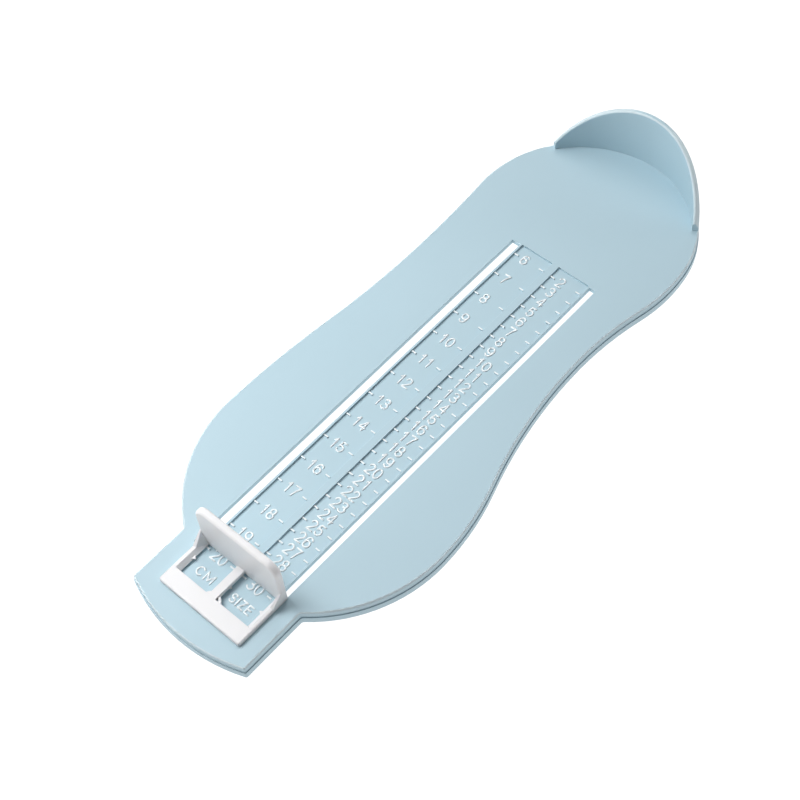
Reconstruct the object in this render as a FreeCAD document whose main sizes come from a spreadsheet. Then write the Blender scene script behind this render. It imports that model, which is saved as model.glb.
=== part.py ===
"""Child's foot measuring gauge: a moulded sole tray with a heel cup, and a toe slider that runs in it.

Frame: +Z up, +Y from the toe tab to the heel cup, millimetres. The parts are drawn with x = 0 on the
line midway between the two slots and y = 0 at the zero of the centimetre scale, then placed so that
the origin is at the bottom centre of the tray's box.
"""
import FreeCAD, Part
import Sketcher
import math
import os

from FreeCAD import Vector

DOC = FreeCAD.newDocument("FootGauge")

SIZES = {
    # outline of the sole plate: half widths from the slot centre line, stations along the scale
    "tab_half_width": 22.6,
    "tab_end_y": -224.7,
    "tab_end_radius": 60.0,
    "ball_right": 41.7,
    "ball_left": 44.4,
    "ball_y": -159.1,
    "ball_lower_radius": 49.2,
    "ball_upper_radius_right": 88.0,
    "ball_upper_radius_left": 346.0,
    "waist_right": 29.0,
    "waist_left": 39.7,
    "waist_y": -80.2,
    "heel_x": -2.2,
    "heel_end_y": -0.5,
    "heel_left_radius": 39.3,
    "heel_right_radius": 35.5,
    "heel_side_radius": 57.0,
    "heel_side_y": -40.2,
    "tab_corner_radius": 0.8,
    "shoulder_corner_radius": 1.2,
    # section of the tray
    "rim_height": 5.0,
    "lower_band_height": 2.5,
    "band_step": 0.3,
    "plate_thickness": 1.7,
    "skirt_thickness": 1.6,
    "rim_round": 0.5,
    # heel cup wall
    "cup_wall": 2.2,
    "cup_top_wall": 1.8,
    "cup_height": 20.9,
    "cup_x": -3.0,
    "cup_half_width": 30.4,
    "cup_blunt_end": 0.4,
    "cup_round": 0.6,
    # scale panel
    "column_outer_half": 13.5,
    "edge_rib_width": 0.65,
    "left_slot_width": 3.2,
    "right_slot_width": 2.3,
    "middle_rib_width": 2.6,
    "middle_rib_x": 0.1,
    "recess_depth": 0.7,
    "recess_heel_margin": 4.3,
    "slot_heel_margin": 3.9,
    "slot_toe_margin": 23.5,
    "recess_toe_margin": 11.2,
    # raised tick marks
    "cm_first": 6.0,
    "cm_count": 15.0,
    "cm_pitch": 10.0,
    "size_count": 29.0,
    "size_pitch": 5.0,
    "tick_length": 1.7,
    "tick_width": 0.5,
    "tick_height": 0.4,
    "cm_tick_inset": 0.4,
    "size_tick_inset": 0.3,
    # ribs under the plate
    "guide_rib_half": 20.4,
    "guide_rib_width": 1.2,
    "guide_rib_depth": 2.6,
    # toe slider
    "slider_x": 0.6,
    "slider_half_width": 16.25,
    "slider_gap": 0.05,
    "frame_height": 1.5,
    "frame_round": 0.5,
    "frame_corner_radius": 0.9,
    "slider_park_gap": 1.2,
    "plate_depth": 2.6,
    "plate_height": 18.5,
    "plate_corner_radius": 4.5,
    "plate_round": 0.9,
    "window_length": 11.7,
    "back_bar_depth": 5.8,
    "middle_bar_width": 2.7,
    "middle_bar_x": 0.45,
    # rails at the slider's sides: a flat ridge, then a bevel down to the scale
    "ridge_width": 1.3,
    "rail_width": 2.7,
    "fin_top_width": 0.6,
    "fin_height": 5.6,
    "fin_length": 3.6,
    # pointers and eye
    "pointer_setback": 8.5,
    "pointer_reach": 0.7,
    "pointer_half_width": 0.5,
    "pointer_height": 0.4,
    "eye_x": 0.8,
    "eye_inset": 1.2,
    "eye_radius": 3.2,
    "eye_bore_radius": 2.4,
    "eye_height": 1.0,
    # snap legs
    "leg_side_gap": 0.2,
    "leg_thickness": 1.3,
    "leg_length": 3.5,
    "hook_catch": 0.8,
    "hook_height": 1.1,
    "hook_gap": 0.15,
}


class Size:
    """A length with its value and the spreadsheet expression that gives it."""

    def __init__(self, value, text):
        self.value = float(value)
        self.text = text

    def __add__(self, other):
        other = as_size(other)
        return Size(self.value + other.value, "(%s + %s)" % (self.text, other.text))

    def __sub__(self, other):
        other = as_size(other)
        return Size(self.value - other.value, "(%s - %s)" % (self.text, other.text))

    def __mul__(self, other):
        other = as_size(other)
        return Size(self.value * other.value, "(%s * %s)" % (self.text, other.text))

    def __truediv__(self, other):
        other = as_size(other)
        return Size(self.value / other.value, "(%s / %s)" % (self.text, other.text))

    def __neg__(self):
        return Size(-self.value, "(0 - %s)" % self.text)

    def root(self):
        return Size(math.sqrt(self.value), "sqrt(%s)" % self.text)

    def arcsine(self):
        """The angle in degrees."""
        return Size(math.degrees(math.asin(self.value)), "asin(%s)" % self.text)


def as_size(value):
    return value if isinstance(value, Size) else Size(value, repr(float(value)))


def make_sheet():
    """The spreadsheet of driving dimensions, one named cell for each."""
    sheet = DOC.addObject("Spreadsheet::Sheet", "Sizes")
    for row, (name, value) in enumerate(SIZES.items(), start=1):
        sheet.set("A%d" % row, name)
        sheet.set("B%d" % row, str(value))
        sheet.setAlias("B%d" % row, name)
    DOC.recompute()
    return sheet


SHEET = make_sheet()


def size(name):
    return Size(SHEET.get(name), "Sizes." + name)


def along():
    """The stations along the gauge. The slider is parked at the toe end of its slots."""
    first_mark = -size("cm_first") * size("cm_pitch")
    slot_toe = size("tab_end_y") + size("slot_toe_margin")
    toe_plate = slot_toe + size("slider_park_gap") + size("leg_length")
    toe_face = toe_plate - size("plate_depth")
    back_bar = toe_face - size("window_length")
    return {
        "first mark": first_mark,
        "slot": (slot_toe, first_mark + size("slot_heel_margin")),
        "recess": (size("tab_end_y") + size("recess_toe_margin"), first_mark + size("recess_heel_margin")),
        "toe plate": toe_plate,
        "toe face": toe_face,
        "fin toe": toe_face - size("fin_length"),
        "back bar": back_bar,
        "frame toe": back_bar - size("back_bar_depth"),
        "pointer": toe_plate - size("pointer_setback"),
        "eye": back_bar - size("eye_inset"),
    }


# ---------------------------------------------------------------- sketching helpers

def new_body(label):
    body = DOC.addObject("PartDesign::Body", label)
    body.Label = label
    return body


def origin_item(body, role):
    return [item for item in body.Origin.OriginFeatures if item.Role == role][0]


def new_sketch(body, name, role, across=None, up=None, out=None):
    """A sketch on one of the body's planes, moved in that plane's own directions."""
    sketch = body.newObject("Sketcher::SketchObject", name)
    sketch.AttachmentSupport = [(origin_item(body, role), "")]
    sketch.MapMode = "FlatFace"
    for axis, shift in (("x", across), ("y", up), ("z", out)):
        if shift is not None:
            sketch.setExpression("AttachmentOffset.Base." + axis, as_size(shift).text)
    DOC.recompute()
    return sketch


def bind(sketch, constraint, text):
    """Add a constraint and tie its value to the sheet."""
    index = sketch.addConstraint(constraint)
    sketch.setExpression("Constraints[%d]" % index, text)


def arc_between(start, end, radius, turn):
    """The arc from start to end that turns left (+1) or right (-1), shorter than half a circle."""
    chord = end - start
    height = math.sqrt(radius * radius - chord.Length * chord.Length / 4)
    normal = Vector(-chord.y, chord.x, 0).normalize() * turn
    centre = (start + end) / 2 + normal * height
    first, last = (start, end) if turn > 0 else (end, start)
    angles = [math.atan2(p.y - centre.y, p.x - centre.x) for p in (first, last)]
    if angles[1] < angles[0]:
        angles[1] += 2 * math.pi
    return Part.ArcOfCircle(Part.Circle(centre, Vector(0, 0, 1), radius), angles[0], angles[1])


def draw_loop(sketch, corners, bends=None):
    """A closed loop through the corners. bends maps a side's number to its (radius, turn)."""
    bends = bends or {}
    points = [Vector(as_size(x).value, as_size(y).value, 0) for x, y in corners]
    count = len(points)
    sides = []
    for number, start in enumerate(points):
        end = points[(number + 1) % count]
        if number in bends:
            radius, turn = bends[number]
            geometry = sketch.addGeometry(arc_between(start, end, radius.value, turn), False)
            ends = (1, 2) if turn > 0 else (2, 1)
        else:
            geometry = sketch.addGeometry(Part.LineSegment(start, end), False)
            ends = (1, 2)
        sides.append((geometry, ends))
    join_and_fix(sketch, sides, corners)
    for number, (radius, turn) in bends.items():
        side = sides[number][0]
        bind(sketch, Sketcher.Constraint("Radius", side, radius.value), radius.text)
    DOC.recompute()


def join_and_fix(sketch, sides, corners):
    """Join each side to the next and hold every corner at its place from the sketch's origin."""
    count = len(sides)
    for number, (side, ends) in enumerate(sides):
        following, following_ends = sides[(number + 1) % count]
        sketch.addConstraint(Sketcher.Constraint("Coincident", side, ends[1], following, following_ends[0]))
    for (side, ends), (x, y) in zip(sides, corners):
        x, y = as_size(x), as_size(y)
        bind(sketch, Sketcher.Constraint("DistanceX", -1, 1, side, ends[0], x.value), x.text)
        bind(sketch, Sketcher.Constraint("DistanceY", -1, 1, side, ends[0], y.value), y.text)


def draw_box(sketch, left, right, low, high):
    draw_loop(sketch, [(left, low), (right, low), (right, high), (left, high)])


def add_pad(body, name, sketch, length, both=False, backwards=False):
    pad = body.newObject("PartDesign::Pad", name)
    pad.Profile = sketch
    pad.setExpression("Length", as_size(length).text)
    pad.Midplane = both
    pad.Reversed = backwards
    body.Tip = pad
    DOC.recompute()
    return pad


def add_pocket(body, name, sketch, depth=None, both=False, backwards=False, towards=None):
    """A cut of the given depth, or right through. It must take material away."""
    before = body.Shape.Volume
    pocket = body.newObject("PartDesign::Pocket", name)
    pocket.Profile = sketch
    if depth is None:
        pocket.Type = "ThroughAll"
    else:
        pocket.setExpression("Length", as_size(depth).text)
    if towards:
        pocket.UseCustomVector = True
        for axis, share in zip("xyz", towards):
            pocket.setExpression("Direction." + axis, share.text)
    pocket.Midplane = both
    pocket.Reversed = backwards
    body.Tip = pocket
    DOC.recompute()
    if body.Shape.Volume > before - 1e-3:
        raise RuntimeError(name + " cuts nothing")
    return pocket


def add_fillet(body, name, chosen, radius):
    """Round the edges of the body's last feature for which chosen(edge) is true."""
    base = body.Tip
    edges = ["Edge%d" % n for n, edge in enumerate(base.Shape.Edges, start=1) if chosen(edge)]
    if not edges:
        raise RuntimeError(name + " finds no edge")
    fillet = body.newObject("PartDesign::Fillet", name)
    fillet.Base = (base, edges)
    fillet.setExpression("Radius", as_size(radius).text)
    body.Tip = fillet
    DOC.recompute()


def add_row(body, name, feature, count, pitch):
    """Copies of a feature in a row towards the toe end."""
    row = body.newObject("PartDesign::LinearPattern", name)
    row.Originals = [feature]
    row.Direction = (origin_item(body, "Y_Axis"), [""])
    row.Reversed = True
    row.setExpression("Length", (pitch * (count - 1)).text)
    row.setExpression("Occurrences", count.text)
    body.Tip = row
    DOC.recompute()
    return row


def near(value, target):
    return abs(value - target) < 1e-4


def midpoint(edge):
    return edge.valueAt((edge.FirstParameter + edge.LastParameter) / 2)


# ---------------------------------------------------------------- the sole outline

def tangent_point(outer_x, outer_y, radius, inner_x, inner_y, side):
    """Where the bulge at (outer_x, outer_y) runs into the hollow at (inner_x, inner_y).

    Both arcs are upright at those points. side is +1 on the right and -1 on the left, and the x
    values are half widths. Returns the point and the hollow's radius.
    """
    inset = outer_x - inner_x
    run = inner_y - outer_y
    radii = (inset * inset + run * run) / (inset * 2)
    share = radius / radii
    hollow = radii - radius
    centre = outer_x - radius
    x = centre + (inner_x + hollow - centre) * share
    y = outer_y + run * share
    return (x if side > 0 else -x, y), hollow


def heel_centres():
    """The heel end is two arcs that meet at its tip, with their centres straight below it."""
    tip = size("heel_end_y")
    return size("heel_x"), tip - size("heel_left_radius"), tip - size("heel_right_radius")


def sole_outline(grow):
    """Corners and arcs of the sole outline, moved outwards by grow. Counter-clockwise from above."""
    tab = size("tab_half_width") + grow
    end_radius = size("tab_end_radius") + grow
    end_y = size("tab_end_y") - grow
    tab_y = end_y + end_radius - (end_radius * end_radius - tab * tab).root()
    ball_y = size("ball_y")
    waist_y = size("waist_y")
    lower = size("ball_lower_radius") + grow
    heel_x, left_heel_y, right_heel_y = heel_centres()
    left_heel = size("heel_left_radius") + grow
    right_heel = size("heel_right_radius") + grow

    ball_right = size("ball_right") + grow
    waist_right = size("waist_right") + grow
    upper_right = size("ball_upper_radius_right") + grow
    reach = tab - ball_right + lower
    shoulder_right = ball_y - (lower * lower - reach * reach).root()
    into_waist, waist_low = tangent_point(ball_right, ball_y, upper_right, waist_right, waist_y, 1)

    flank = size("heel_side_radius") + grow
    flank_y = size("heel_side_y")
    rise = right_heel_y - flank_y
    spread = flank - right_heel
    flank_x = heel_x - (spread * spread - rise * rise).root()
    out_of_waist, waist_high = tangent_point(flank_x + flank, flank_y, flank, waist_right, waist_y, 1)
    share = flank / spread
    flank_end = (flank_x + (heel_x - flank_x) * share, flank_y + rise * share)

    ball_left = size("ball_left") + grow
    waist_left = size("waist_left") + grow
    upper_left = size("ball_upper_radius_left") + grow
    heel_side = left_heel - heel_x
    off_heel, left_high = tangent_point(heel_side, left_heel_y, left_heel, waist_left, waist_y, -1)
    to_ball, left_low = tangent_point(ball_left, ball_y, upper_left, waist_left, waist_y, -1)
    reach = tab - ball_left + lower
    shoulder_left = ball_y - (lower * lower - reach * reach).root()

    corners = [
        (-tab, tab_y), (tab, tab_y), (tab, shoulder_right), (ball_right, ball_y), into_waist,
        (waist_right, waist_y), out_of_waist, flank_end, (heel_x, size("heel_end_y") + grow),
        (-heel_side, left_heel_y), off_heel, (-waist_left, waist_y), to_ball, (-ball_left, ball_y),
        (-tab, shoulder_left),
    ]
    bends = {
        0: (end_radius, 1), 2: (lower, 1), 3: (upper_right, 1), 4: (waist_low, -1),
        5: (waist_high, -1), 6: (flank, 1), 7: (right_heel, 1), 8: (left_heel, 1), 9: (left_heel, 1),
        10: (left_high, -1), 11: (left_low, -1), 12: (upper_left, 1), 13: (lower, 1),
    }
    return corners, bends


# ---------------------------------------------------------------- the sole tray

def make_tray():
    body = new_body("sole_tray")
    add_bands(body)
    add_heel_cup(body)
    hollow_underside(body)
    add_scale_panel(body)
    add_ticks(body)
    add_guide_ribs(body)
    return body


def add_bands(body):
    """The stepped rim: a lower band that stands proud of the upper one."""
    outlines = {"Lower": sole_outline(size("band_step")), "Upper": sole_outline(as_size(0))}
    for name, height in (("Lower", size("lower_band_height")), ("Upper", size("rim_height"))):
        sketch = new_sketch(body, name + "Outline", "XY_Plane")
        draw_loop(sketch, *outlines[name])
        add_pad(body, name + "Band", sketch, height)

    def upright_at(*numbers):
        """Chooses the upright edges at these corners of the two outlines."""
        places = [Vector(*[as_size(c).value for c in outline[0][n]], 0)
                  for outline in outlines.values() for n in numbers]

        def chosen(edge):
            ends = [Vector(v.X, v.Y, 0) for v in edge.Vertexes]
            return len(ends) == 2 and any(all(near((e - p).Length, 0) for e in ends) for p in places)
        return chosen

    def top_edge(edge):
        top = size("rim_height").value
        return all(near(v.Z, top) for v in edge.Vertexes) and near(midpoint(edge).z, top)

    last = len(outlines["Upper"][0]) - 1
    add_fillet(body, "TabCorners", upright_at(0, 1), size("tab_corner_radius"))
    add_fillet(body, "ShoulderCorners", upright_at(2, last), size("shoulder_corner_radius"))
    add_fillet(body, "RimRound", top_edge, size("rim_round"))


def add_heel_cup(body):
    """A thin wall round the heel, trimmed to an arc that falls steeply to a blunt end on each side."""
    rim = size("rim_height")
    root = rim - size("plate_thickness") / 2
    half = size("cup_half_width")
    peak = size("cup_height")
    above = rim + peak * 1.2
    heel_x, left_y, right_y = heel_centres()
    offset = size("cup_x") - heel_x
    reach = half - size("cup_blunt_end")
    walls = {
        "Left": (size("heel_left_radius"), left_y, reach - offset),
        "Right": (size("heel_right_radius"), right_y, reach + offset),
    }
    for name, (outer, centre_y, end) in walls.items():
        section = new_sketch(body, name + "CupSection", "YZ_Plane", across=centre_y, out=heel_x)
        inner = outer - size("cup_wall")
        inner_top = outer - size("cup_top_wall")
        draw_loop(section, [(inner, root), (outer, root), (outer, above), (inner_top, above), (inner, rim)])
        wall = body.newObject("PartDesign::Revolution", name + "CupWall")
        wall.Profile = section
        wall.ReferenceAxis = (section, ["V_Axis"])
        wall.setExpression("Angle", (end / outer).arcsine().text)
        wall.Reversed = name == "Right"
        body.Tip = wall
        DOC.recompute()

    radius = (half * half + peak * peak) / (peak * 2)
    beside = half * 1.5
    trim = new_sketch(body, "CupTrim", "XZ_Plane", across=size("cup_x"))
    draw_loop(trim, [
        (-beside, rim), (-half, rim), (half, rim), (beside, rim), (beside, above + peak),
        (-beside, above + peak),
    ], {1: (radius, -1)})
    add_pocket(body, "CupArc", trim, both=True)
    centre = Vector(size("cup_x").value, 0, (rim + peak - radius).value)

    def lip(edge):
        points = [v.Point for v in edge.Vertexes] + [midpoint(edge)]
        on_arc = all(near(math.hypot(p.x - centre.x, p.z - centre.z), radius.value) for p in points)
        return on_arc and edge.Length > half.value / 2

    add_fillet(body, "CupLip", lip, size("cup_round"))


def hollow_underside(body):
    """The tray is open underneath: a plate on a skirt."""
    sketch = new_sketch(body, "Underside", "XY_Plane")
    draw_loop(sketch, *sole_outline(-size("skirt_thickness")))
    depth = size("rim_height") - size("plate_thickness")
    add_pocket(body, "Hollow", sketch, depth, backwards=True)


def panel_edges():
    """The x of each edge across the scale panel, from left to right."""
    column = size("column_outer_half")
    middle = size("middle_rib_x")
    half_rib = size("middle_rib_width") / 2
    slot = column + size("edge_rib_width")
    return {
        "left slot": (-slot - size("left_slot_width"), -slot),
        "cm column": (-column, middle - half_rib),
        "size column": (middle + half_rib, column),
        "right slot": (slot, slot + size("right_slot_width")),
    }


def add_scale_panel(body):
    """Two slots for the slider's legs and, between them, two sunken columns for the scales."""
    edges = panel_edges()
    rim = size("rim_height")
    for side in ("left", "right"):
        sketch = new_sketch(body, side.title() + "SlotSketch", "XY_Plane", out=rim)
        draw_box(sketch, *edges[side + " slot"], *along()["slot"])
        add_pocket(body, side.title() + "Slot", sketch)
    for column in ("cm", "size"):
        sketch = new_sketch(body, column.title() + "ColumnSketch", "XY_Plane", out=rim)
        draw_box(sketch, *edges[column + " column"], *along()["recess"])
        add_pocket(body, column.title() + "Column", sketch, size("recess_depth"))


def add_ticks(body):
    """Raised marks down both sides of each column: one a centimetre, and one a size."""
    edges = panel_edges()
    floor = size("rim_height") - size("recess_depth")
    first = along()["first mark"]
    half = size("tick_width") / 2
    length = size("tick_length")
    for column in ("cm", "size"):
        left, right = edges[column + " column"]
        far = right - size(column + "_tick_inset") - length
        for side, start in (("Left", left), ("Right", far)):
            name = column.title() + side
            sketch = new_sketch(body, name + "TickSketch", "XY_Plane", out=floor)
            draw_box(sketch, start, start + length, first - half, first + half)
            tick = add_pad(body, name + "Tick", sketch, size("tick_height"))
            add_row(body, name + "Ticks", tick, size(column + "_count"), size(column + "_pitch"))


def add_guide_ribs(body):
    """Ribs under the plate: one outside each slot, and one down the middle of the panel."""
    under = size("rim_height") - size("plate_thickness")
    width = size("guide_rib_width")
    middle = size("middle_rib_x")
    outside = size("guide_rib_half")
    ribs = {
        "Left": (-outside - width, -outside),
        "Middle": (middle - width / 2, middle + width / 2),
        "Right": (outside, outside + width),
    }
    for name, (left, right) in ribs.items():
        sketch = new_sketch(body, name + "RibSketch", "XY_Plane", out=under)
        draw_box(sketch, left, right, *along()["slot"])
        add_pad(body, name + "Rib", sketch, size("guide_rib_depth"), backwards=True)


# ---------------------------------------------------------------- the toe slider

def slider_sides():
    """For each side: its outer edge and the sign that leads inwards from there."""
    centre = size("slider_x")
    half = size("slider_half_width")
    return {"Left": (centre - half, 1), "Right": (centre + half, -1)}


def inwards(side, distance):
    """The x at this distance inside the slider's left or right edge."""
    outer, sign = slider_sides()[side]
    return outer + distance * sign


def slider_levels():
    """The slider's underside and the top of its frame."""
    rim = size("rim_height")
    return rim + size("slider_gap"), rim + size("frame_height")


def make_slider():
    body = new_body("toe_slider")
    add_frame(body)
    add_rails(body)
    round_frame(body)
    add_toe_plate(body)
    add_fins(body)
    add_pointers(body)
    add_eye(body)
    add_legs(body)
    return body


def add_frame(body):
    """A back bar and a middle bar, lying on the tray, that leave two reading windows."""
    base, top = slider_levels()
    bar = size("middle_bar_x")
    half_bar = size("middle_bar_width") / 2
    bars = {
        "BackBar": (inwards("Left", 0), inwards("Right", 0), along()["frame toe"], along()["back bar"]),
        "MiddleBar": (bar - half_bar, bar + half_bar, along()["back bar"], along()["toe face"]),
    }
    for name in ("MiddleBar", "BackBar"):
        sketch = new_sketch(body, name + "Sketch", "XY_Plane", out=base)
        draw_box(sketch, *bars[name])
        add_pad(body, name, sketch, top - base)


def add_rails(body):
    """Side rails with a flat ridge and a bevel down to the scale."""
    base, top = slider_levels()
    for side in ("Left", "Right"):
        sketch = new_sketch(body, side + "RailSketch", "XZ_Plane", out=-along()["toe face"])
        outer = inwards(side, 0)
        ridge = inwards(side, size("ridge_width"))
        draw_loop(sketch, [(outer, base), (outer, top), (ridge, top), (inwards(side, size("rail_width")), base)])
        add_pad(body, side + "Rail", sketch, size("window_length"))


def round_frame(body):
    """Round the frame's toe corners, then its outer top edges."""
    _, frame_top = slider_levels()
    toe_end = along()["frame toe"].value

    def on_side(point):
        return any(near(point.x, inwards(side, 0).value) for side in ("Left", "Right"))

    def toe_corner(edge):
        point = midpoint(edge)
        return on_side(point) and near(point.y, toe_end)

    def outer_top(edge):
        point = midpoint(edge)
        at_toe = point.y < toe_end + size("frame_corner_radius").value
        return near(point.z, frame_top.value) and (on_side(point) or at_toe)

    add_fillet(body, "FrameCorners", toe_corner, size("frame_corner_radius"))
    add_fillet(body, "FrameRound", outer_top, size("frame_round"))


def add_toe_plate(body):
    """The upright plate that meets the toes, with round upper corners and soft edges."""
    base, frame_top = slider_levels()
    left, right = inwards("Left", 0), inwards("Right", 0)
    top = size("rim_height") + size("plate_height")
    corner = size("plate_corner_radius")
    sketch = new_sketch(body, "ToePlateSketch", "XZ_Plane", out=-along()["toe plate"])
    draw_loop(sketch, [
        (left, base), (right, base), (right, top - corner), (right - corner, top),
        (left + corner, top), (left, top - corner),
    ], {2: (corner, 1), 4: (corner, 1)})
    add_pad(body, "ToePlate", sketch, size("plate_depth"))
    faces = along()["toe plate"].value, along()["toe face"].value

    def face_outline(edge):
        point = midpoint(edge)
        return point.z > (frame_top + size("frame_round")).value and any(near(point.y, face) for face in faces)

    add_fillet(body, "PlateRound", face_outline, size("plate_round"))


def add_fins(body):
    """Low fins brace the toe plate from the rails: thin on top, wider at the foot, sloping to the toe."""
    base, frame_top = slider_levels()
    peak = size("rim_height") + size("fin_height")
    toe_face, fin_toe = along()["toe face"], along()["fin toe"]
    length, buried = size("fin_length"), size("plate_depth") / 2
    for side in ("Left", "Right"):
        sketch = new_sketch(body, side + "FinSketch", "XZ_Plane", out=-(toe_face + buried))
        outer, crest, foot = (inwards(side, x) for x in (0, size("fin_top_width"), size("rail_width")))
        draw_loop(sketch, [(outer, base), (outer, peak), (crest, peak), (foot, base)])
        add_pad(body, side + "Fin", sketch, buried + length)
    above = peak + size("fin_top_width")
    slope = new_sketch(body, "FinSlopeSketch", "YZ_Plane")
    draw_loop(slope, [(fin_toe, frame_top), (toe_face, peak), (toe_face, above), (fin_toe, above)])
    add_pocket(body, "FinSlope", slope, both=True)
    taper_fins(body)


def taper_fins(body):
    """Slant each fin's inner face so that it narrows to the ridge at its toe end."""
    base, frame_top = slider_levels()
    peak = size("rim_height") + size("fin_height")
    narrowing, rise = size("rail_width") - size("ridge_width"), frame_top - base
    length = size("fin_length")
    reach = (narrowing * narrowing + length * length + rise * rise).root()
    for side, (_, sign) in slider_sides().items():
        crest, foot = inwards(side, size("fin_top_width")), inwards(side, size("rail_width"))
        beyond = foot + narrowing * sign
        sketch = new_sketch(body, side + "TaperSketch", "XZ_Plane", out=-along()["toe face"])
        draw_loop(sketch, [(crest, peak), (foot, base), (beyond, base - rise), (beyond, peak)])
        add_pocket(body, side + "Taper", sketch, length, towards=(
            -narrowing * sign / reach, -length / reach, rise / reach))


def add_pointers(body):
    """Small arrowheads at the sides of the windows, just above the scales."""
    base, _ = slider_levels()
    bar_side = size("middle_bar_x") + size("middle_bar_width") / 2
    rail = size("rail_width")
    reach = size("pointer_reach")
    pointers = {
        "LeftPointer": (inwards("Left", rail), reach),
        "MiddlePointer": (bar_side, reach),
        "RightPointer": (inwards("Right", rail), -reach),
    }
    spread = size("pointer_half_width")
    place = along()["pointer"]
    for name, (side, tip) in pointers.items():
        sketch = new_sketch(body, name + "Sketch", "XY_Plane", out=base)
        root = side - tip
        draw_loop(sketch, [(root, place - spread * 2), (side + tip, place), (root, place + spread * 2)])
        add_pad(body, name, sketch, size("pointer_height"))


def add_eye(body):
    """A small ring under the place where the middle bar meets the back bar."""
    base, _ = slider_levels()
    ring = new_sketch(body, "EyeSketch", "XY_Plane", across=size("eye_x"), up=along()["eye"], out=base)
    for name in ("eye_radius", "eye_bore_radius"):
        radius = size(name)
        circle = ring.addGeometry(Part.Circle(Vector(0, 0, 0), Vector(0, 0, 1), radius.value), False)
        ring.addConstraint(Sketcher.Constraint("Coincident", circle, 3, -1, 1))
        bind(ring, Sketcher.Constraint("Radius", circle, radius.value), radius.text)
    DOC.recompute()
    add_pad(body, "Eye", ring, size("eye_height"))


def add_legs(body):
    """A snap leg down through each slot, near its inner side, that hooks outwards under the plate."""
    edges = panel_edges()
    gap = size("leg_side_gap")
    base, frame_top = slider_levels()
    top = (base + frame_top) / 2
    catch = size("rim_height") - size("plate_thickness") - size("hook_gap")
    foot = catch - size("hook_height")
    slots = {"Left": (edges["left slot"][1], edges["left slot"][0], -1),
             "Right": (edges["right slot"][0], edges["right slot"][1], 1)}
    for side, (slot_inner, slot_outer, sign) in slots.items():
        inner = slot_inner + gap * sign
        outer = inner + size("leg_thickness") * sign
        hook = slot_outer + size("hook_catch") * sign
        sketch = new_sketch(body, side + "LegSketch", "XZ_Plane", out=-along()["toe plate"])
        draw_loop(sketch, [
            (outer, top), (outer, catch), (hook, catch), (hook, foot), (inner, foot), (inner, top),
        ])
        add_pad(body, side + "Leg", sketch, size("leg_length"))


# ---------------------------------------------------------------- checks and export

def check_document(parts):
    """Stop on any feature that failed and on any part that is not one valid solid."""
    for item in DOC.Objects:
        if {"Invalid", "Error"} & set(item.State):
            raise RuntimeError("failed feature: " + item.Name)
    for part in parts:
        shape = part.Shape
        if shape.isNull() or not shape.isValid() or len(shape.Solids) != 1:
            raise RuntimeError("bad shape: " + part.Label)


def main():
    parts = [make_tray(), make_slider()]
    box = parts[0].Shape.optimalBoundingBox(False)
    home = Vector(-(box.XMin + box.XMax) / 2, -(box.YMin + box.YMax) / 2, -box.ZMin)
    for part in parts:
        part.Placement = FreeCAD.Placement(home, FreeCAD.Rotation())
    DOC.recompute()
    check_document(parts)
    os.makedirs("parts", exist_ok=True)
    for part in parts:
        part.Shape.exportStep("parts/%s.step" % part.Label)
        box = part.Shape.optimalBoundingBox(False)
        print(part.Label, "x %.2f %.2f  y %.2f %.2f  z %.2f %.2f" % (
            box.XMin, box.XMax, box.YMin, box.YMax, box.ZMin, box.ZMax))


main()
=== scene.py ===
"""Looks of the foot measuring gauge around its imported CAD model. Metres, +Z up, +Y towards the heel."""

import math

import bpy
from mathutils import Matrix, Vector


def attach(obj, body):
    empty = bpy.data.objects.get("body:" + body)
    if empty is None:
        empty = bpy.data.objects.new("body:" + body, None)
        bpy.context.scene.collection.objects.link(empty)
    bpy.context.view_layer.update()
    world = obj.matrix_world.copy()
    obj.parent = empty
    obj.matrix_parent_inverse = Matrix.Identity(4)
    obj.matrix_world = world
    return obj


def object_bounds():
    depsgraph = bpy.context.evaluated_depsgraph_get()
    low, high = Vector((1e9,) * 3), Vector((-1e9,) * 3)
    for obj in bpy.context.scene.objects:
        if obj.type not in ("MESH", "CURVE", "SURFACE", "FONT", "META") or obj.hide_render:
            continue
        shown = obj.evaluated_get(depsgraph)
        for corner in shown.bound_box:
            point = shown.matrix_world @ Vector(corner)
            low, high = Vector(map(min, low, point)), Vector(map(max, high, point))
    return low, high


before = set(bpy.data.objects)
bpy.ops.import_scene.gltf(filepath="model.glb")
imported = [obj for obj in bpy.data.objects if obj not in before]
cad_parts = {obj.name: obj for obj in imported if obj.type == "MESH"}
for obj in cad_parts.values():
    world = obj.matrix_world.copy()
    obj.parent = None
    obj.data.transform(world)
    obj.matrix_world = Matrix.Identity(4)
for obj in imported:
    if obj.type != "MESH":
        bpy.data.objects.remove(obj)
cad_box = [list(corner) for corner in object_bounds()]

MM = 0.001

# ---------------------------------------------------------------- places on the tray, in mm

TRAY_LEFT = cad_box[0][0] / MM
HEEL_END = cad_box[1][1] / MM
SCALE_X = TRAY_LEFT + 32.2    # the line that characters are set out from, 1 mm inside the cm column
SCALE_Y = HEEL_END - 59.8     # the first mark of both columns
RECESS_FLOOR = 4.3            # the floor of the sunken columns
MARK_TOPS = (4.6, 4.8)        # the tops of the raised marks lie between these two heights


# ---------------------------------------------------------------- materials

GLOSS_SPREAD = 0.07       # how far the roughness strays from its mean
BEVEL_SAMPLES = 6
LEVEL_SLOPE = 0.7         # a face counts as level where its normal's Z is above this
# FLAT_TURN, EDGE_TURN and ROUND_SLOPES settle where the painted edge highlight falls
FLAT_TURN = 0.998         # cosine between a face's normal and its softened one, where no edge is near
EDGE_TURN = 0.85          # the same cosine on a fully sharp edge
BLACK, FULL = (0.0, 0.0, 0.0), (1.0, 1.0, 1.0)
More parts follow.
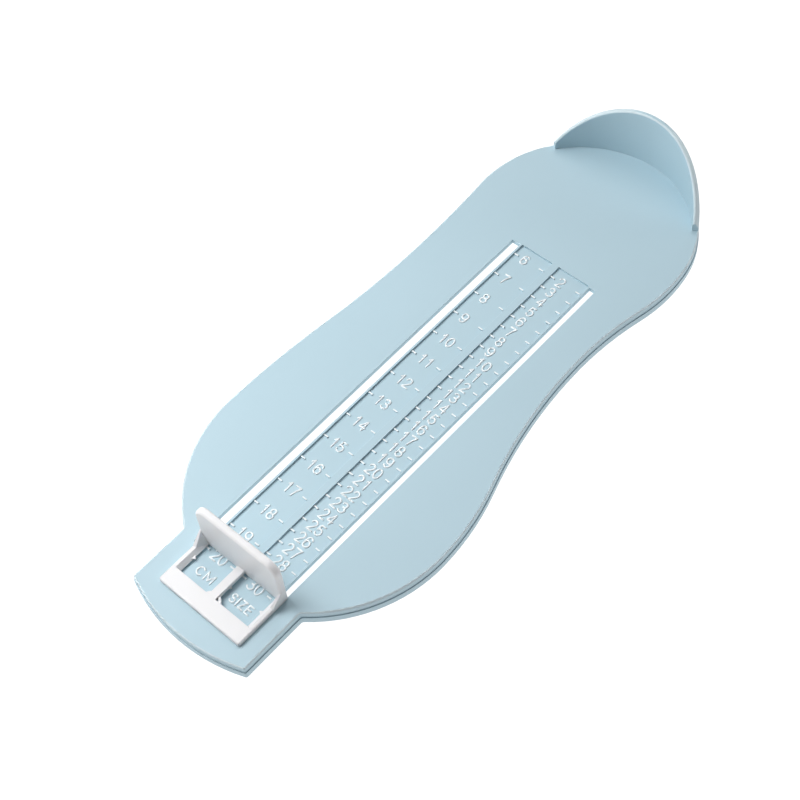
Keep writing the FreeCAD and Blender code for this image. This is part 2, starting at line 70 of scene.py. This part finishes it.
# an edge round is neither upright nor level: how much a normal's Z makes a face one, for the painted edge
# highlight
ROUND_SLOPES = [(0.2, BLACK), (0.45, FULL), (0.96, FULL), (0.995, BLACK)]


def shader_of(material):
    """The material's node tree and its Principled shader."""
    material.use_nodes = True
    tree = material.node_tree
    return tree, tree.nodes["Principled BSDF"]


def add(tree, kind, inputs=None, **options):
    """A new node with its options set, and each input given a value or linked to a socket."""
    node = tree.nodes.new(kind)
    for name, value in options.items():
        setattr(node, name, value)
    for name, value in (inputs or {}).items():
        if isinstance(value, bpy.types.NodeSocket):
            tree.links.new(value, node.inputs[name])
        else:
            node.inputs[name].default_value = value
    return node


def colour_ramp(tree, factor, stops):
    """A ramp through (position, colour) stops. The first and the last are its two ends."""
    ramp = add(tree, "ShaderNodeValToRGB", {"Fac": factor})
    elements = ramp.color_ramp.elements
    for element, (position, colour) in zip(elements, (stops[0], stops[-1])):
        element.position = position
        element.color = (*colour, 1.0)
    for position, colour in stops[1:-1]:
        elements.new(position).color = (*colour, 1.0)
    return ramp.outputs["Color"]


def plastic(name, light, dark, rough, grain, grain_height, cloud, subsurface=0.0, edge=0.12 * MM):
    """Injection-moulded plastic: fine spark-eroded grain, faint flow clouds, uneven gloss, softened edges."""
    material = bpy.data.materials.new(name)
    tree, shader = shader_of(material)
    link = tree.links.new
    place = add(tree, "ShaderNodeTexCoord").outputs["Object"]

    clouds = add(tree, "ShaderNodeTexNoise", {"Vector": place, "Scale": cloud, "Detail": 3.0})
    link(colour_ramp(tree, clouds.outputs["Fac"], [(0.3, dark), (0.7, light)]), shader.inputs["Base Color"])

    speckle = add(tree, "ShaderNodeTexNoise", {
        "Vector": place, "Scale": grain, "Detail": 4.0, "Roughness": 0.65,
    }).outputs["Fac"]
    gloss = add(tree, "ShaderNodeMapRange", {
        "Value": speckle, "To Min": rough - GLOSS_SPREAD, "To Max": rough + GLOSS_SPREAD,
    })
    link(gloss.outputs["Result"], shader.inputs["Roughness"])

    soft_edge = add(tree, "ShaderNodeBevel", {"Radius": edge}, samples=BEVEL_SAMPLES)
    bump = add(tree, "ShaderNodeBump", {
        "Height": speckle, "Normal": soft_edge.outputs["Normal"], "Strength": 0.25, "Distance": grain_height,
    })
    link(bump.outputs["Normal"], shader.inputs["Normal"])

    shader.inputs["IOR"].default_value = 1.49
    shader.inputs["Specular IOR Level"].default_value = 0.5
    shader.inputs["Subsurface Weight"].default_value = subsurface
    shader.inputs["Subsurface Radius"].default_value = (0.004, 0.004, 0.005)
    shader.inputs["Subsurface Scale"].default_value = 0.3
    return material


def height_in(tree, vector):
    """The Z of a place or a direction."""
    return add(tree, "ShaderNodeSeparateXYZ", {"Vector": vector}).outputs["Z"]


def calculate(tree, operation, one, other):
    return add(tree, "ShaderNodeMath", {0: one, 1: other}, operation=operation).outputs["Value"]


def blend_colour(tree, shader, share, colour):
    """Mixes a colour over the base colour by the share that a socket gives."""
    below = shader.inputs["Base Color"].links[0].from_socket
    tint = add(tree, "ShaderNodeMix", data_type="RGBA")
    tree.links.new(share, tint.inputs["Factor"])
    tree.links.new(below, tint.inputs["A"])
    tint.inputs["B"].default_value = (*colour, 1.0)
    tree.links.new(tint.outputs["Result"], shader.inputs["Base Color"])


def polish_marks(material, colour, rough):
    """The level tops of the raised marks are smoother than the floor between them, and coloured paler: a
    painted highlight.
    """
    tree, shader = shader_of(material)
    height = height_in(tree, add(tree, "ShaderNodeTexCoord").outputs["Object"])
    slope = height_in(tree, add(tree, "ShaderNodeNewGeometry").outputs["Normal"])
    level = calculate(tree, "GREATER_THAN", slope, LEVEL_SLOPE)
    above = calculate(tree, "GREATER_THAN", height, MARK_TOPS[0] * MM)
    below = calculate(tree, "LESS_THAN", height, MARK_TOPS[1] * MM)
    mask = calculate(tree, "MULTIPLY", level, calculate(tree, "MULTIPLY", above, below))
    blend_colour(tree, shader, mask, colour)
    roughness = shader.inputs["Roughness"].links[0].from_socket
    smoothness = add(tree, "ShaderNodeMix", {"Factor": mask, "A": roughness, "B": rough})
    tree.links.new(smoothness.outputs["Result"], shader.inputs["Roughness"])


def pale_edges(material, colour, strength, radius):
    """Painted highlight: sharp edges and edge rounds get a paler base colour, standing in for the light that
    they catch.
    """
    tree, shader = shader_of(material)
    normal = add(tree, "ShaderNodeNewGeometry").outputs["Normal"]
    rounded = add(tree, "ShaderNodeBevel", {"Radius": radius}, samples=BEVEL_SAMPLES)
    turn = add(tree, "ShaderNodeVectorMath", {
        0: normal, 1: rounded.outputs["Normal"],
    }, operation="DOT_PRODUCT")
    sharp = add(tree, "ShaderNodeMapRange", {
        "Value": turn.outputs["Value"], "From Min": FLAT_TURN, "From Max": EDGE_TURN,
    })
    round_faces = colour_ramp(tree, height_in(tree, normal), ROUND_SLOPES)
    either = calculate(tree, "MAXIMUM", sharp.outputs["Result"], round_faces)
    blend_colour(tree, shader, calculate(tree, "MULTIPLY", either, strength), colour)


BLUE = plastic(
    "tray_plastic", light=(0.482, 0.652, 0.734), dark=(0.470, 0.640, 0.720),
    rough=0.50, grain=2600.0, grain_height=0.03 * MM, cloud=30.0,
)
# the raised characters are coloured much paler than the tray: a painted highlight on their tops
DIGITS = plastic(
    "tray_digit_plastic", light=(0.92, 0.97, 0.99), dark=(0.90, 0.955, 0.98),
    rough=0.25, grain=3000.0, grain_height=0.01 * MM, cloud=30.0,
)
WHITE = plastic(
    "slider_plastic", light=(0.86, 0.855, 0.865), dark=(0.845, 0.84, 0.85),
    rough=0.40, grain=3200.0, grain_height=0.02 * MM, cloud=45.0, subsurface=0.08,
)
# the raised marks' level tops: a painted highlight in a paler colour, and a real lower roughness
polish_marks(BLUE, colour=(0.90, 0.96, 0.98), rough=0.25)
# painted highlight: a paler colour along every sharp edge and edge round of the tray
pale_edges(BLUE, colour=(0.86, 0.94, 0.97), strength=0.55, radius=0.15 * MM)


def clothe(obj, material):
    obj.data.materials.clear()
    obj.data.materials.append(material)


clothe(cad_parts["sole_tray"], BLUE)
clothe(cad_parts["toe_slider"], WHITE)


# ---------------------------------------------------------------- raised characters

STROKE = 0.58             # width of a character's stroke, mm
RELIEF = 0.32             # height above the recess floor
ROOT = -0.05              # how far the stroke's underside is sunk into the floor, mm
# the stroke's section: shares of the half width, and of the relief unless the point is at the root
SECTION = [(-1.0, ROOT), (-0.95, 0.45), (-0.7, 0.88), (0.0, 1.0), (0.7, 0.88), (0.95, 0.45), (1.0, ROOT)]
CAP_STEPS = 3             # steps in which each end is rounded off
CAP_TURN = math.pi / 2 * 0.97    # just short of a quarter turn, so that the end face keeps an area


def arc(cx, cy, rx, ry, start, end, steps=20):
    """Points along part of an ellipse, angles in degrees."""
    points = []
    for i in range(steps + 1):
        angle = math.radians(start + (end - start) * i / steps)
        points.append((cx + rx * math.cos(angle), cy + ry * math.sin(angle)))
    return points


def line(*points):
    return list(points)


def turned(strokes):
    """The strokes turned upside down, by half a turn."""
    return [[(1 - x, 1 - y) for x, y in stroke] for stroke in strokes]


SIX = [
    arc(0.5, 0.31, 0.5, 0.31, 180, -180, 28),
    arc(0.54, 0.5, 0.54, 0.5, 42, 180, 14) + [(0.0, 0.31)],
]
GLYPHS = {
    "0": [arc(0.5, 0.5, 0.5, 0.5, 90, 450, 32)],
    "1": [line((0.64, 0.0), (0.64, 1.0)), line((0.64, 1.0), (0.28, 0.76))],
    "2": [arc(0.49, 0.71, 0.47, 0.29, 165, -38, 16) + [(0.0, 0.0)], line((0.0, 0.0), (1.0, 0.0))],
    "3": [arc(0.46, 0.76, 0.43, 0.24, 155, -90, 18), arc(0.47, 0.27, 0.53, 0.27, 98, -155, 22)],
    "4": [line((0.74, 0.0), (0.74, 1.0)), line((0.74, 1.0), (0.0, 0.28)), line((0.0, 0.28), (1.0, 0.28))],
    "5": [line((0.9, 1.0), (0.22, 1.0)), line((0.22, 1.0), (0.1, 0.5)),
          arc(0.47, 0.32, 0.51, 0.32, 140, -155, 22)],
    "6": SIX,
    "7": [line((0.0, 1.0), (1.0, 1.0)), line((1.0, 1.0), (0.62, 0.55), (0.38, 0.0))],
    "8": [arc(0.5, 0.76, 0.41, 0.24, 90, 450, 24), arc(0.5, 0.27, 0.5, 0.27, 90, 450, 26)],
    "9": turned(SIX),
    "C": [arc(0.5, 0.5, 0.5, 0.5, 48, 312, 24)],
    "M": [line((0.0, 0.0), (0.0, 1.0)), line((0.0, 1.0), (0.5, 0.12)), line((0.5, 0.12), (1.0, 1.0)),
          line((1.0, 1.0), (1.0, 0.0))],
    "S": [arc(0.5, 0.75, 0.44, 0.25, 25, 265, 18) + arc(0.5, 0.26, 0.5, 0.26, 84, -155, 20)],
    "I": [line((0.5, 0.0), (0.5, 1.0))],
    "Z": [line((0.0, 1.0), (1.0, 1.0)), line((1.0, 1.0), (0.0, 0.0)), line((0.0, 0.0), (1.0, 0.0))],
    "E": [line((0.0, 0.0), (0.0, 1.0)), line((0.0, 1.0), (0.95, 1.0)), line((0.0, 0.52), (0.85, 0.52)),
          line((0.0, 0.0), (0.95, 0.0))],
}


class Relief:
    """A mesh of rounded ridges on the recess floor."""

    def __init__(self):
        self.points = []
        self.faces = []

    def ring(self, x, y, across, share):
        """One section of a ridge. share shrinks it towards a rounded end."""
        start = len(self.points)
        half = STROKE / 2 * share
        for u, h in SECTION:
            height = h if h == ROOT else h * RELIEF * share
            self.points.append((
                (x + across[0] * u * half) * MM,
                (y + across[1] * u * half) * MM,
                (RECESS_FLOOR + height) * MM,
            ))
        return start

    def stroke(self, path):
        """A ridge along the path, rounded at both ends unless the path closes on itself."""
        closed = math.dist(path[0], path[-1]) < 1e-6
        if closed:
            path = path[:-1]
        count = len(path)
        rings = []
        for i, (x, y) in enumerate(path):
            before = path[(i - 1) % count] if closed or i else path[i]
            after = path[(i + 1) % count] if closed or i < count - 1 else path[i]
            ahead = Vector((after[0] - before[0], after[1] - before[1])).normalized()
            across = (ahead.y, -ahead.x)
            at_start, at_end = not closed and i == 0, not closed and i == count - 1
            steps = [(0.0, 1.0)]
            if at_start or at_end:
                angles = [CAP_TURN * k / CAP_STEPS for k in range(CAP_STEPS + 1)]
                steps = [(math.sin(a) * STROKE / 2, math.cos(a)) for a in angles]
            if at_start:
                steps = [(-reach, share) for reach, share in reversed(steps)]
            for reach, share in steps:
                rings.append(self.ring(x + ahead.x * reach, y + ahead.y * reach, across, share))
        sides = len(SECTION)
        last = len(rings) if closed else len(rings) - 1
        for i in range(last):
            a, b = rings[i], rings[(i + 1) % len(rings)]
            for k in range(sides):
                m = (k + 1) % sides
                self.faces.append((a + k, b + k, b + m, a + m))
        if not closed:
            self.faces.append(tuple(rings[0] + k for k in range(sides)))
            self.faces.append(tuple(rings[-1] + k for k in reversed(range(sides))))

    def text(self, text, x, y, width, height, pitch=0.0):
        """Characters of an outside width and height, pitch apart, the first one's lower left at x, y."""
        for number, letter in enumerate(text):
            left = x + number * pitch + STROKE / 2
            low = y + STROKE / 2
            for path in GLYPHS[letter]:
                self.stroke([
                    (left + u * (width - STROKE), low + v * (height - STROKE)) for u, v in path
                ])

    def build(self, name, material):
        mesh = bpy.data.meshes.new(name)
        mesh.from_pydata(self.points, [], self.faces)
        mesh.validate()
        mesh.update()
        mesh.shade_smooth()
        obj = bpy.data.objects.new(name, mesh)
        bpy.context.scene.collection.objects.link(obj)
        clothe(obj, material)
        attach(obj, "tray")
        return obj


DIGIT_WIDTH = 2.55
DIGIT_HEIGHT = 4.1
DIGIT_PITCH = 2.82
LABEL_HEIGHT = 3.3
LABEL_Y = SCALE_Y - 148.2    # the lower edge of both words


def column(name, numbers, x, spacing):
    """A column of numbers, one beside each mark."""
    relief = Relief()
    for row, number in enumerate(numbers):
        y = SCALE_Y - row * spacing - DIGIT_HEIGHT / 2
        relief.text(str(number), SCALE_X + x, y, DIGIT_WIDTH, DIGIT_HEIGHT, DIGIT_PITCH)
    relief.build(name, DIGITS)


def label(name, letters):
    """A word at the column's toe end, each letter with its own place and width."""
    relief = Relief()
    for letter, x, width in letters:
        relief.text(letter, SCALE_X + x, LABEL_Y, width, LABEL_HEIGHT)
    relief.build(name, DIGITS)


column("cm_digits", range(6, 21), x=2.1, spacing=10.0)
column("size_digits", range(2, 31), x=16.85, spacing=5.0)
label("cm_label", [("C", 2.2, 2.9), ("M", 5.6, 3.3)])
label("size_label", [("S", 16.0, 2.2), ("I", 17.9, 2.0), ("Z", 19.6, 2.2), ("E", 22.2, 2.1)])


# ---------------------------------------------------------------- floor, light and camera

FLOOR_HALF = 4.0          # half the side of the square floor, m
FLOOR_LEVEL = -0.1 * MM   # just under the tray
WALL_TOP = 3.0
FLOOR_GLOW = 1.1
WORLD_GLOW = 0.18
# each lamp's place in m, its width and height in m, and its power in W
LAMPS = {
    "panel": ((-0.40, 0.53, 1.0), 0.35, 0.7, 3.2),
    "front": ((-0.50, -0.75, 0.62), 0.6, 0.6, 1.25),
    "left": ((-0.45, -0.12, 1.05), 0.4, 0.4, 1.3),
    "near": ((-0.24, -0.12, 0.32), 0.2, 0.2, 1.1),
    "low": ((0.50, 0.85, 0.24), 0.4, 0.2, 1.2),
}
SENSOR_WIDTH = 36.0       # mm
LENS = 72.06              # mm
CAMERA_AIM = Vector((-4.913, -11.421, 0.0)) * MM    # where the camera's axis meets the floor
CAMERA_DISTANCE = 493.40 * MM                       # from that point
CAMERA_AZIMUTH = -43.019  # degrees round from +X, as seen from the aim
CAMERA_ELEVATION = 55.750
CAMERA_ROLL = -6.276      # degrees about the camera's own axis


def stage_object(name, points, faces, material):
    mesh = bpy.data.meshes.new(name)
    mesh.from_pydata(points, [], faces)
    obj = bpy.data.objects.new(name, mesh)
    bpy.context.scene.collection.objects.link(obj)
    clothe(obj, material)
    return obj


def make_floor():
    """A white floor, and white walls far off that give no light and throw no shadow."""
    material = bpy.data.materials.new("floor_paper")
    _, shader = shader_of(material)
    shader.inputs["Base Color"].default_value = (0.05, 0.05, 0.05, 1.0)
    shader.inputs["Roughness"].default_value = 0.9
    shader.inputs["Specular IOR Level"].default_value = 0.0
    shader.inputs["Emission Color"].default_value = (1.0, 1.0, 1.0, 1.0)
    shader.inputs["Emission Strength"].default_value = FLOOR_GLOW
    half = FLOOR_HALF
    corners = [(-half, -half), (half, -half), (half, half), (-half, half)]
    stage_object("floor", [(x, y, FLOOR_LEVEL) for x, y in corners], [(0, 1, 2, 3)], material)
    points = [(x, y, z) for z in (FLOOR_LEVEL, WALL_TOP) for x, y in corners]
    sides = [(i, (i + 1) % 4, (i + 1) % 4 + 4, i + 4) for i in range(4)]
    wall = stage_object("wall", points, sides, material)
    wall.visible_diffuse = False
    wall.visible_glossy = False
    wall.visible_transmission = False
    wall.visible_shadow = False


def area_light(name, place, width, height, power):
    """A rectangular lamp that faces the gauge."""
    data = bpy.data.lights.new(name, "AREA")
    data.shape = "RECTANGLE"
    data.size = width
    data.size_y = height
    data.energy = power
    lamp = bpy.data.objects.new(name, data)
    lamp.location = place
    lamp.rotation_euler = (-Vector(place)).to_track_quat("-Z", "Y").to_euler()
    bpy.context.scene.collection.objects.link(lamp)


def make_lights():
    world = bpy.data.worlds.new("studio")
    bpy.context.scene.world = world
    world.use_nodes = True
    sky = world.node_tree.nodes["Background"]
    sky.inputs["Color"].default_value = (0.97, 0.985, 1.0, 1.0)
    sky.inputs["Strength"].default_value = WORLD_GLOW
    for name, (place, width, height, power) in LAMPS.items():
        area_light(name, place, width, height, power)


def turn_about(axis, degrees):
    return Matrix.Rotation(math.radians(degrees), 4, axis)


def make_camera():
    """A camera that looks straight down is backed off, rolled, tilted up, turned and carried to its aim."""
    data = bpy.data.cameras.new("photo_camera")
    data.sensor_width = SENSOR_WIDTH
    data.lens = LENS
    data.clip_start = 0.01
    data.clip_end = 20.0
    camera = bpy.data.objects.new("photo_camera", data)
    turn = turn_about("Z", CAMERA_AZIMUTH + 90.0)
    tilt = turn_about("X", 90.0 - CAMERA_ELEVATION)
    roll = turn_about("Z", CAMERA_ROLL)
    back = Matrix.Translation((0.0, 0.0, CAMERA_DISTANCE))
    camera.matrix_world = Matrix.Translation(CAMERA_AIM) @ turn @ tilt @ roll @ back
    bpy.context.scene.collection.objects.link(camera)
    bpy.context.scene.camera = camera


make_floor()
make_lights()
make_camera()
bpy.context.scene.view_settings.view_transform = "Standard"
